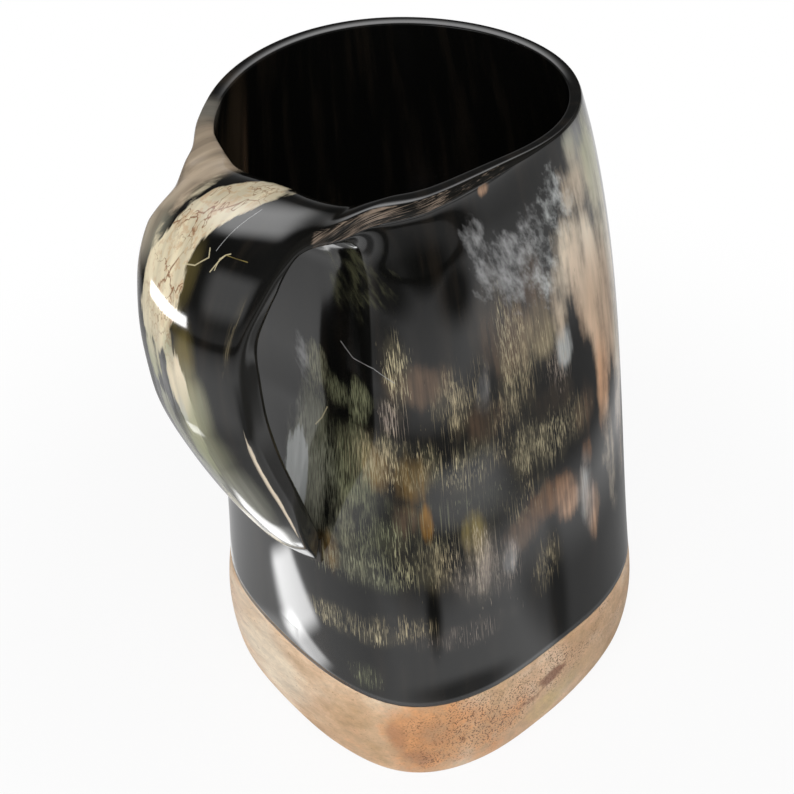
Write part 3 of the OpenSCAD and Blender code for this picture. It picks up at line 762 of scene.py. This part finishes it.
def horn_marks(data):
    """For each way of drawing: how much of it there is at each point, and in which colour"""
    phi, up, side, along = data["phi"], data["up"], data["side"], data["along"]
    v = (180 - phi) / ROOT_A
    on_body = ((side < 0.5) | (data["cut"] > 0.5) & (side < 0.95)) & (data["strap"] < 0.5)
    on_strap = (side > 0.5) & ((data["strap"] > 0.5) | (abs(v) < 1.3))
    inside = (side > 0.5) & (data["strap"] < 0.5) & (abs(v) > 1.3)
    out = {}
    for way in HORN_WAYS:
        most = np.zeros(len(phi))
        total = np.zeros(len(phi))
        colour = np.zeros((len(phi), 3))
        rows = [(row, on_body, phi, up) for row in BODY_MARKS] + [(row, on_strap, along, v) for row in STRAP_MARKS]
        rows += [(row, inside, phi, up) for row in INSIDE_MARKS]
        for row, where, across, high in rows:
            if row[4] != way:
                continue
            share = spot(across, high, row) * where
            most = np.maximum(most, share)
            total += share
            colour += share[:, None] * np.array(tone(COLOURS[row[5]]))
        if way == "torn":
            share = band_share(along, v, CREAM_BAND, 0.2, 0.2) * on_strap
            most = np.maximum(most, share)
            total += share
            colour += share[:, None] * np.array(tone(COLOURS["bone"]))
        out[way] = most
        out[way + "_colour"] = colour / np.maximum(total, 1e-4)[:, None]
    out["rough"] = np.zeros(len(phi))
    for at, half, share in ((202, 10, 0.9), (216, 9, 0.8), (230, 8, 0.7), (250, 14, 0.4), (190, 6, 0.5), (120, 60, 0.3)):
        near = share * smooth(1.3 - abs(turned(phi - at)) / half)
        out["rough"] = np.maximum(out["rough"], near * data["cut"] * (data["strap"] < 0.5))
    # The cut face mirrors less because it is matte; the spots added to it below are painted dark reflections
    dull = data["cut"] * np.where(data["strap"] > 0.5, 0.6, 0.7)
    for row in DARK_REFLECTION_SPOTS:
        dull = np.maximum(dull, spot(phi, up, row) * on_body)
    for row in STRAP_DARK_REFLECTIONS:
        dull = np.maximum(dull, spot(along, v, row) * on_strap)
    out["dull"] = dull
    return out


def scratch_places(data):
    """Each scratch's colour, width and places on the unbent sheet"""
    raw, v = raw_place(data), (180 - data["phi"]) / ROOT_A
    strap = (data["side"] > 0.5) & (data["strap"] > 0.5)
    body = (data["side"] < 0.5) & (data["strap"] < 0.5)
    out = []
    for where, colour, width, places in SCRATCHES:
        found = []
        for a, b in places:
            if where == "strap":
                far = np.hypot((data["along"] - a) * STRAP_LONG, (v - b) * STRAP_W / 2) + 1e6 * ~strap
            else:
                far = np.hypot((data["phi"] - a) * 0.77, data["up"] - b) + 1e6 * ~body
            found.append(raw[far.argmin()])
        out.append((tone(COLOURS[colour]), width * MM, found))
    return out


def horn_material(scratches):
    """Polished horn: near black, with clouds, fibres and pale zones under a clear lacquer; two of the pale marks are
    painted highlights, and some spots are made to mirror less as painted dark reflections
    """
    n = Nodes("horn")
    raw = n.attribute("raw", vector=True)
    fine = n.noise(raw, 7600.0, 1.0, 0.5, stretch=(1, 1, 0.042))
    hair = n.noise(raw, 6400.0, 1.0, 0.5, stretch=(1, 1, 0.011), offset=(0.2, 0.7, 0.4))
    fibre = n.noise(raw, 900.0, 3.0, 0.6, stretch=(1, 1, 0.05), offset=(0.3, 0.1, 0.2))
    streak = n.noise(raw, 260.0, 3.0, 0.55, stretch=(1, 1, 0.12), offset=(0.7, 0.4, 0.1))
    blotch = n.noise(raw, 150.0, 4.0, 0.6, stretch=(1, 1, 0.5), offset=(0.1, 0.9, 0.5))
    wisp = n.noise(raw, 900.0, 4.0, 0.65, stretch=(1, 0.6, 0.45), offset=(0.5, 0.2, 0.8))
    tilted = n.add("ShaderNodeMapping", {"Vector": raw, "Rotation": (0.5, 0.3, 0.2)}).outputs[0]
    slant = n.noise(tilted, 420.0, 4.0, 0.62, stretch=(1, 1, 0.3), offset=(0.6, 0.1, 0.4))
    level_grain = n.noise(raw, 700.0, 3.0, 0.6, stretch=(0.4, 0.4, 3.0), offset=(0.2, 0.2, 0.9))
    base = n.blend(n.step(streak, 0.45, 0.75), (0.0042, 0.0042, 0.0038), (0.013, 0.0105, 0.008))

    dash, soft, grain = n.attribute("dash"), n.attribute("soft"), n.attribute("grain")
    shade = n.blend(n.math("MULTIPLY", n.math("MULTIPLY", dash, n.step(blotch, 0.35, 0.65)), 0.12), base,
                    n.attribute("dash_colour", vector=True))
    cloud = n.ragged(soft, ((blotch, 1.3), (streak, 1.1), (fibre, 0.5)), 0.1, 1.3)
    cloud = n.math("MULTIPLY", cloud, n.spread(fibre, 0.35, 0.65, 0.55, 1))
    mottle = n.spread(streak, 0.35, 0.65, 0.72, 1)
    shade = n.blend(n.attribute("haze"), shade, n.tinted(n.attribute("haze_colour", vector=True), mottle))
    shade = n.blend(n.math("MULTIPLY", cloud, 0.8), shade, n.attribute("soft_colour", vector=True))

    wisps = n.ragged(n.attribute("wisp"), ((slant, 3.6), (blotch, 2.0)), 0.25, 2.0)
    shade = n.blend(n.math("MULTIPLY", wisps, 0.85), shade, n.attribute("wisp_colour", vector=True))

    crowd = n.math("MULTIPLY", n.ragged(grain, ((blotch, 2.0), (streak, 1.6)), 0.1, 1.1), n.spread(fine, 0.42, 0.6, 0.12, 1))
    shade = n.blend(n.math("MULTIPLY", crowd, 0.75), shade, n.attribute("grain_colour", vector=True))

    veil = n.ragged(n.attribute("veil"), ((fibre, 0.6), (blotch, 1.6), (streak, 1.4)), 0.15, 1.15)
    shade = n.blend(veil, shade, n.tinted(n.attribute("veil_colour", vector=True), mottle))
    torn = n.ragged(n.attribute("torn"), ((fibre, 1.1), (blotch, 1.5), (streak, 1.2)), 0.36, 0.72)
    shade = n.blend(torn, shade, n.tinted(n.attribute("torn_colour", vector=True), mottle))
    aged = n.math("MULTIPLY", torn, n.attribute("crack"))
    shade = n.blend(n.math("MULTIPLY", aged, n.spread(wisp, 0.48, 0.62, 0.0, 0.5)), shade, tone("#c49c74"))
    shade = n.blend(n.math("MULTIPLY", n.cracks(raw, blotch), aged), shade, n.attribute("crack_colour", vector=True))

    dense = n.ragged(dash, ((blotch, 1.1), (streak, 1.0), (fibre, 1.3)), 0.0, 1.25)
    level = n.math("SUBTRACT", 0.74, n.math("MULTIPLY", dense, 0.22))
    hits = n.math("MULTIPLY", n.step(n.math("SUBTRACT", fine, level), 0.0, 0.07), n.spread(streak, 0.35, 0.6, 0.45, 1))
    hairs = n.math("MULTIPLY", n.step(hair, 0.62, 0.7), n.math("MULTIPLY", n.step(dash, 0.05, 0.6), 0.6))
    hits = n.math("MAXIMUM", hits, hairs)
    shade = n.blend(n.math("MULTIPLY", hits, 0.8), shade, n.attribute("dash_colour", vector=True))

    for colour, width, places in scratches:
        line = 0.0
        for a, b in zip(places, places[1:]):
            line = n.math("MAXIMUM", line, n.scratch(raw, a, b, width))
        shade = n.blend(n.math("MULTIPLY", line, 0.75), shade, colour)
    shade = n.blend(n.math("MULTIPLY", n.attribute("cut"), 0.8), shade, (0.011, 0.0105, 0.009))
    rough = n.ragged(n.attribute("rough"), ((level_grain, 3.6), (blotch, 1.6)), 0.4, 1.3)
    shade = n.blend(n.math("MULTIPLY", rough, 0.75), shade, (0.34, 0.26, 0.2))

    # The specular level drops on the matte cut face and on the painted dark reflections
    level = n.math("SUBTRACT", 0.5, n.math("MULTIPLY", n.attribute("dull"), 0.47))
    shader = n.add("ShaderNodeBsdfPrincipled", {"Base Color": shade, "Roughness": 0.09, "IOR": 1.65,
                                                "Specular IOR Level": level})
    return n.finish(shader.outputs[0])


# Marks on the wooden foot: angle, height, half angle and half height, the same ways and strengths
WOOD_MARKS = (
    (214, 14, 17, 16, "soft", "orange", 1), (232, 10, 14, 12, "soft", "orange", 0.7), (196, 6, 12, 9, "soft", "orange", 0.6),
    (230, 15, 22, 12, "pores", "bark", 0.9), (262, 17, 22, 9, "pores", "bark", 0.5), (284, 16, 16, 12, "pores", "bark", 0.45),
    (217, 9, 12, 8, "pores", "bark", 0.6), (256, 15, 9, 2.2, "torn", "knot", 1), (247, 12, 6, 1.6, "torn", "knot", 0.7),
    (268, 9, 15, 5, "soft", "sapwood", 0.6), (270, 12, 16, 8, "soft", "bark", 0.3), (252, 6, 12, 5, "soft", "sapwood", 0.8), (286, 12, 9, 8, "soft", "pale", 0.6),
    (205, 13, 3, 5, "soft", "knot", 1), (211, 7, 4, 3, "soft", "knot", 1), (216, 15, 5, 4, "soft", "knot", 0.7),
    (223, 12, 1.5, 2.5, "torn", "bark", 0.6), (198, 10, 2, 8, "soft", "knot", 0.5), (187, 12, 1.6, 9, "soft", "knot", 0.4),
    (160, 12, 22, 16, "soft", "pale", 0.9), (182, 15, 12, 10, "soft", "pale", 0.5), (174, 8, 12, 4, "soft", "bark", 0.35),
    (60, 12, 40, 14, "soft", "orange", 0.6), (20, 10, 24, 10, "pores", "bark", 0.7), (110, 14, 20, 10, "pores", "bark", 0.6),
    (330, 14, 22, 8, "soft", "sapwood", 0.6), (188, 17, 10, 2.5, "soft", "dun", 0.7), (170, 20, 12, 3, "soft", "dun", 0.6),
    (200, 9, 7, 3, "soft", "knot", 0.4), (276, 19, 14, 3, "soft", "dun", 0.7), (292, 10, 8, 6, "soft", "dun", 0.6))
WOOD_COLOURS = {"orange": "#d8955a", "bark": "#6a4226", "knot": "#7a4226", "sapwood": "#d2b880", "pale": "#f6e6cc", "dun": "#be9468"}


def foot_marks(points):
    phi = np.degrees(np.arctan2(points[:, 1], points[:, 0])) % 360
    out = {}
    for way in ("soft", "pores", "torn"):
        most, total, colour = np.zeros(len(phi)), np.zeros(len(phi)), np.zeros((len(phi), 3))
        for row in WOOD_MARKS:
            if row[4] == way:
                share = spot(phi, points[:, 2], row)
                most = np.maximum(most, share)
                total += share
                colour += share[:, None] * np.array(tone(WOOD_COLOURS[row[5]]))
        out[way] = most
        out[way + "_colour"] = colour / np.maximum(total, 1e-4)[:, None]
    return out


def wood_material():
    """Sanded pale hardwood with a thin satin coat: slanting grain, fine dark pores, a knot and sapwood"""
    n = Nodes("wood")
    place = n.add("ShaderNodeTexCoord").outputs["Object"]
    turned_place = n.add("ShaderNodeMapping", {"Vector": place, "Rotation": (0.5, 0.35, 0.6)}).outputs[0]
    grain = n.noise(turned_place, 420.0, 4.0, 0.6, stretch=(1, 0.12, 1))
    fine = n.noise(turned_place, 1900.0, 2.0, 0.6, stretch=(1, 0.18, 1), offset=(0.2, 0.5, 0.1))
    cloud = n.noise(place, 55.0, 4.0, 0.6, offset=(0.4, 0.1, 0.7))
    bands = n.noise(turned_place, 95.0, 3.0, 0.55, stretch=(1, 0.25, 1), offset=(0.9, 0.3, 0.2))
    speck = n.noise(turned_place, 2300.0, 1.5, 0.5, stretch=(1, 0.35, 1), offset=(0.6, 0.6, 0.3))
    base = n.ramp(bands, (0.3, tone("#caa57c")), (0.5, tone("#e2bf99")), (0.7, tone("#f2dcc0")))
    base = n.blend(n.spread(cloud, 0.35, 0.7, 0.0, 0.35), base, tone("#e6b896"))
    soft = n.ragged(n.attribute("soft"), ((cloud, 1.6), (bands, 1.6), (grain, 0.8)), 0.2, 1.2)
    base = n.blend(n.math("MULTIPLY", soft, 0.8), base, n.attribute("soft_colour", vector=True))
    base = n.tinted(base, n.spread(grain, 0.3, 0.7, 0.86, 1.06))
    base = n.tinted(base, n.spread(fine, 0.35, 0.65, 0.94, 1.04))
    knot = n.ragged(n.attribute("torn"), ((grain, 1.4), (bands, 1.6)), 0.4, 0.9)
    base = n.blend(n.math("MULTIPLY", knot, 0.75), base, n.attribute("torn_colour", vector=True))
    pores = n.math("MULTIPLY", n.ragged(n.attribute("pores"), ((cloud, 1.6), (bands, 1.4)), 0.2, 0.9), n.step(speck, 0.54, 0.62))
    base = n.blend(n.math("MULTIPLY", pores, 0.85), base, n.attribute("pores_colour", vector=True))
    rare = n.math("MULTIPLY", n.step(speck, 0.66, 0.72), 0.4)
    base = n.blend(rare, base, tone("#8a5c3a"))
    height = n.math("SUBTRACT", grain, n.math("MULTIPLY", n.math("ADD", pores, rare), 0.8))
    shader = n.add("ShaderNodeBsdfPrincipled", {"Base Color": base, "Roughness": 0.5, "IOR": 1.45,
                                                "Normal": n.bump(height, 0.25, 0.0002)})
    return n.finish(shader.outputs[0])


# stage

def look_camera():
    """The photograph's view: its place, direction, roll and lens"""
    forward = Vector((0.6243, 0.4371, -0.6475)).normalized()
    level = Vector((0.5736, -0.8192, 0)).normalized()
    upright = level.cross(forward)
    roll = -0.01664
    right = level * math.cos(roll) + upright * math.sin(roll)
    up = upright * math.cos(roll) - level * math.sin(roll)
    data = bpy.data.cameras.new("camera")
    data.lens, data.sensor_width = 112.2, 36.0
    camera = bpy.data.objects.new("camera", data)
    turn = Matrix((right, up, -forward)).transposed()
    camera.matrix_world = Matrix.Translation((-0.3681, -0.2489, 0.4528)) @ turn.to_4x4()
    bpy.context.scene.collection.objects.link(camera)
    bpy.context.scene.camera = camera


def feather(data, edge):
    """Lets a lamp's face fade towards its edges, over a share of its width"""
    data.use_nodes = True
    tree = data.node_tree
    tree.nodes.clear()
    add, link = tree.nodes.new, tree.links.new
    split = add("ShaderNodeSeparateXYZ")
    link(add("ShaderNodeNewGeometry").outputs["Parametric"], split.inputs[0])
    shares = []
    for k in (0, 1):
        inner = add("ShaderNodeMath")
        inner.operation = "PINGPONG"
        inner.inputs[1].default_value = 0.5
        link(split.outputs[k], inner.inputs[0])
        fade = add("ShaderNodeMapRange")
        fade.interpolation_type = "SMOOTHSTEP"
        fade.inputs["From Max"].default_value = edge
        link(inner.outputs[0], fade.inputs["Value"])
        shares.append(fade.outputs[0])
    both = add("ShaderNodeMath")
    both.operation = "MULTIPLY"
    for k in (0, 1):
        link(shares[k], both.inputs[k])
    glow = add("ShaderNodeEmission")
    link(both.outputs[0], glow.inputs["Strength"])
    link(glow.outputs[0], add("ShaderNodeOutputLight").inputs[0])


def area_lamp(name, place, aim, size, power, roll=0.0, diffuse=True, glossy=True, edge=0.0):
    data = bpy.data.lights.new(name, "AREA")
    data.shape, data.size, data.size_y = "RECTANGLE", size[0], size[1]
    data.energy = power
    if edge > 0:
        feather(data, edge)
    lamp = bpy.data.objects.new(name, data)
    lamp.location = place
    turn = (Vector(aim) - Vector(place)).to_track_quat("-Z", "Y") @ Quaternion((0, 0, 1), math.radians(roll))
    lamp.rotation_euler = turn.to_euler()
    lamp.visible_camera, lamp.visible_diffuse, lamp.visible_glossy = False, diffuse, glossy
    bpy.context.scene.collection.objects.link(lamp)
    return lamp


def make_world():
    world = bpy.data.worlds.new("studio")
    world.use_nodes = True
    tree = world.node_tree
    tree.nodes.clear()
    add = tree.nodes.new
    path = add("ShaderNodeLightPath")
    sky = add("ShaderNodeBackground")
    sky.inputs["Color"].default_value = (1, 1, 1, 1)
    sky.inputs["Strength"].default_value = 0.45
    shown = add("ShaderNodeBackground")
    shown.inputs["Color"].default_value = (1, 1, 1, 1)
    shown.inputs["Strength"].default_value = 1.0
    mirrored = add("ShaderNodeBackground")
    place = add("ShaderNodeTexCoord")
    split = add("ShaderNodeSeparateXYZ")
    fade = add("ShaderNodeMapRange")
    fade.interpolation_type = "SMOOTHSTEP"
    fade.inputs["From Min"].default_value = 0.0
    fade.inputs["From Max"].default_value = 0.35
    fade.inputs["To Min"].default_value = 0.25
    fade.inputs["To Max"].default_value = 0.06
    tree.links.new(place.outputs["Generated"], split.inputs[0])
    tree.links.new(split.outputs[2], fade.inputs["Value"])
    tree.links.new(fade.outputs[0], mirrored.inputs["Strength"])
    mirrored.inputs["Color"].default_value = (1, 1, 1, 1)
    first, second = add("ShaderNodeMixShader"), add("ShaderNodeMixShader")
    tree.links.new(path.outputs["Is Glossy Ray"], first.inputs[0])
    tree.links.new(sky.outputs[0], first.inputs[1])
    tree.links.new(mirrored.outputs[0], first.inputs[2])
    tree.links.new(path.outputs["Is Camera Ray"], second.inputs[0])
    tree.links.new(first.outputs[0], second.inputs[1])
    tree.links.new(shown.outputs[0], second.inputs[2])
    out = add("ShaderNodeOutputWorld")
    tree.links.new(second.outputs[0], out.inputs[0])
    bpy.context.scene.world = world


def floor_glow(n, place, far):
    """How bright the floor looks in the horn, a painted reflection: it falls off outwards and is darker in front of the
    cup
    """
    grey = lambda v: (v, v, v)
    plain = n.ramp(far, (0.1, grey(0.6)), (0.135, grey(0.5)), (0.2, grey(0.85)), (0.27, grey(0.85)), (0.9, grey(0.05)))
    front = n.ramp(far, (0.13, grey(0.88)), (0.155, grey(0.2)), (0.23, grey(0.25)), (0.3, grey(0.75)), (0.9, grey(0.05)))
    split = n.add("ShaderNodeSeparateXYZ", {0: n.add("ShaderNodeVectorMath", {0: place}, operation="NORMALIZE").outputs[0]})
    glow = n.blend(n.step(split.outputs[1], 0.0, -0.4), plain, front)
    beside = n.math("MULTIPLY", n.step(split.outputs[0], 0.04, 0.2), n.spread(far, 0.1, 0.13, 0.6, 0.0))
    close = n.math("MULTIPLY", n.spread(far, 0.0645, 0.0665, 1.0, 0.0), n.step(split.outputs[1], 0.1, 0.3))
    close = n.math("MULTIPLY", close, n.step(split.outputs[0], 0.0, -0.2))
    return n.tinted(glow, n.math("ADD", n.math("SUBTRACT", 1.0, beside), close))


def floor_material():
    """A pale floor that keeps the cup's shadow and goes to white further out"""
    n = Nodes("floor")
    place = n.add("ShaderNodeTexCoord").outputs["Object"]
    far = n.add("ShaderNodeVectorMath", {0: place}, operation="LENGTH").outputs["Value"]
    away = n.step(far, 0.09, 0.2)
    path = n.add("ShaderNodeLightPath")
    share = n.math("MULTIPLY", path.outputs["Is Camera Ray"], n.math("ADD", n.math("MULTIPLY", away, 0.1), 0.9))
    diffuse = n.add("ShaderNodeBsdfDiffuse", {"Color": (0.86, 0.86, 0.86)})
    white = n.add("ShaderNodeEmission", {"Color": (1, 1, 1), "Strength": 1.0})
    both = n.add("ShaderNodeMixShader", {0: share, 1: diffuse.outputs[0], 2: white.outputs[0]})
    # Seen only in reflections, the floor glows with this painted reflection pattern of light and dark
    mirrored = n.add("ShaderNodeEmission", {"Color": floor_glow(n, place, far), "Strength": 1.0})
    whole = n.add("ShaderNodeMixShader", {0: path.outputs["Is Glossy Ray"], 1: both.outputs[0], 2: mirrored.outputs[0]})
    return n.finish(whole.outputs[0])


def make_floor():
    mesh = bpy.data.meshes.new("floor")
    n, r = 96, 3.0
    ring_points = [(r * math.cos(2 * math.pi * k / n), r * math.sin(2 * math.pi * k / n), 0) for k in range(n)]
    mesh.from_pydata(ring_points, [], [tuple(range(n))])
    floor = bpy.data.objects.new("floor", mesh)
    floor.location = (0, 0, -0.0001)
    mesh.materials.append(floor_material())
    bpy.context.scene.collection.objects.link(floor)


def make_horn():
    points, faces, data = horn_mesh()
    # Around 132 degrees the rim's cut face is left undarkened, so the rim is paler there
    rim_pale_share = 0.85 * smooth(1.4 - abs(turned(data["phi"] - 132)) / 24)
    shown = {"cut": data["cut"] * (1 - rim_pale_share), "raw": raw_place(data), **horn_marks(data)}
    piece = finish_mesh("horn_cup", points, faces, shown)
    piece.data.materials.append(horn_material(scratch_places(data)))
    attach(piece, "root")
    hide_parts("horn_body", "horn_handle")


def make_foot():
    points, faces = foot_mesh()
    piece = finish_mesh("wooden_foot", points, faces, foot_marks(points))
    piece.data.materials.append(wood_material())
    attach(piece, "root")
    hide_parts("wood_base")


def make_resin():
    piece = finish_mesh("resin_floor", *resin_mesh())
    piece.data.materials.append(plain_gloss("resin", (0.03, 0.022, 0.016), 0.12))
    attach(piece, "root")
    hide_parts("floor_resin")


def dress_glue():
    material = plain_gloss("bond", (0.03, 0.024, 0.018), 0.3)
    for name in ("seam_glue", "tip_glue"):
        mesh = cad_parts[name].data
        mesh.materials.clear()
        mesh.materials.append(material)


def make_lights():
    area_lamp("key", (-0.45, -0.35, 1.0), (0, 0, 0.08), (0.9, 0.9), 6.0, glossy=False)
    area_lamp("back_box", (0.378, 0.314, 0.886), (-0.055, 0, 0.15), (0.98, 0.8), 7.4, diffuse=False, edge=0.38)
    area_lamp("left_box", (-0.72, -0.05, 0.62), (-0.065, 0, 0.15), (0.7, 0.85), 1.5, diffuse=False, edge=0.3)
    area_lamp("strip", (-0.463, 0.389, 0.138), (-0.07, 0.01, 0.142), (0.43, 0.08), 2.0, roll=10.0, diffuse=False, edge=0.04)
    area_lamp("sill", (-0.0530, 0.0305, 0.02), (-0.0530, 0.0305, 0.5), (0.0158, 0.036), 0.0084, roll=-2.0, diffuse=False,
              edge=0.22)
    area_lamp("sill_end", (-0.0494, 0.0135, 0.02), (-0.0494, 0.0135, 0.5), (0.006, 0.028), 0.0017, roll=10.0,
              diffuse=False, edge=0.25)
    area_lamp("side_card", (-0.109, 0.077, 0.001), (-0.109, 0.077, 0.5), (0.022, 0.034), 0.0085, roll=41.0,
              diffuse=False, edge=0.2)
    area_lamp("fill", (-0.85, 0.12, 0.22), (0, 0, 0.08), (0.5, 0.4), 1.2, glossy=False)


look_camera()
make_world()
make_floor()
make_horn()
make_foot()
make_resin()
dress_glue()
make_lights()
bpy.context.scene.view_settings.view_transform = "Standard"
